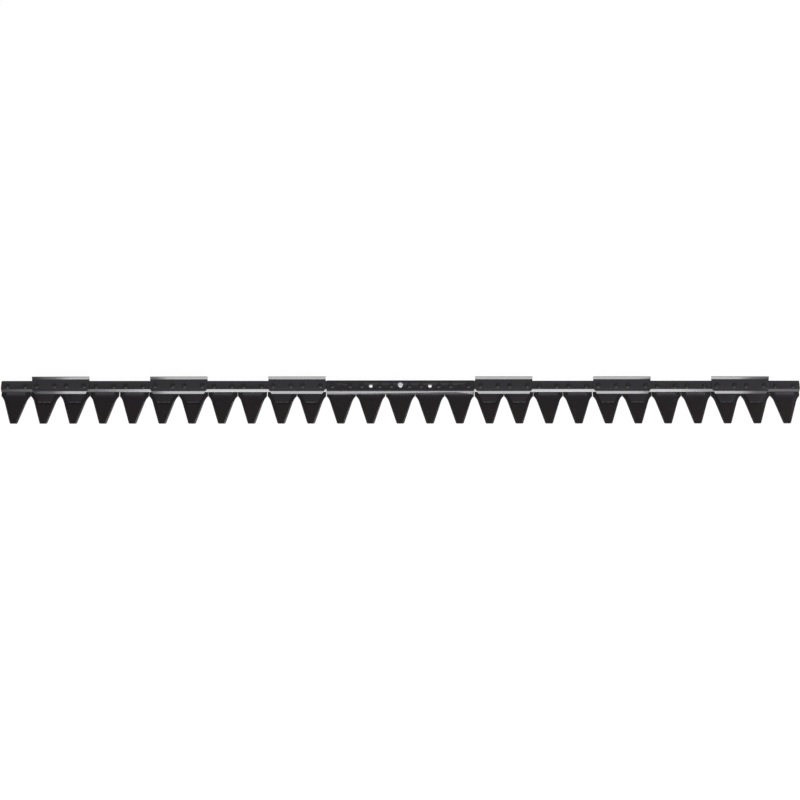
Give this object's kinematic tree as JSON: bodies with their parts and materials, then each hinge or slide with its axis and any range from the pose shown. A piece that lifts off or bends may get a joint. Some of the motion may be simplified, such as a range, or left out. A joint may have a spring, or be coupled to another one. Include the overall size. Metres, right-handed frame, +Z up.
{
  "type": "sickle bar mower knife",
  "caption": "Long reciprocating mower knife: bevel-ground trapezoid blade sections riveted under a flat back bar, with pressed guide plates and a middle head plate with a drive pin",
  "frame": {"origin": "In the sliding plane under the sections, on the rivet line, at the middle of the knife's length", "axes": "+X along the knife, +Y from the tips to the rear edge, +Z up out of the sliding plane"},
  "size_m": [1.892, 0.1135, 0.019],
  "materials": {
    "back_paint": "black gloss paint on a flat steel bar",
    "plate_paint": "black gloss paint on pressed steel sheet",
    "section_steel": "warm black oiled finish on ground, hardened steel, worn lighter along the edges",
    "rivet_steel": "black painted steel rivets, worn on the rims",
    "pin_steel": "bright bare turned steel"
  },
  "bodies": {
    "root": {"back_rivets": "rivet_steel", "guide_plate_1": "plate_paint", "guide_plate_2": "plate_paint", "guide_plate_3": "plate_paint", "guide_plate_4": "plate_paint", "guide_plate_5": "plate_paint", "guide_plate_6": "plate_paint", "guide_plate_rivets": "rivet_steel", "head_pin": "pin_steel", "head_plate": "plate_paint", "head_plate_rivets": "rivet_steel", "knife_back": "back_paint", "section_01": "section_steel", "section_02": "section_steel", "section_03": "section_steel", "section_04": "section_steel", "section_05": "section_steel", "section_06": "section_steel", "section_07": "section_steel", "section_08": "section_steel", "section_09": "section_steel", "section_10": "section_steel", "section_11": "section_steel", "section_12": "section_steel", "section_13": "section_steel", "section_14": "section_steel", "section_15": "section_steel", "section_16": "section_steel", "section_17": "section_steel", "section_18": "section_steel", "section_19": "section_steel", "section_20": "section_steel", "section_21": "section_steel", "section_22": "section_steel", "section_23": "section_steel", "section_24": "section_steel", "section_25": "section_steel", "section_26": "section_steel", "section_27": "section_steel"}
  },
  "joints": []
}
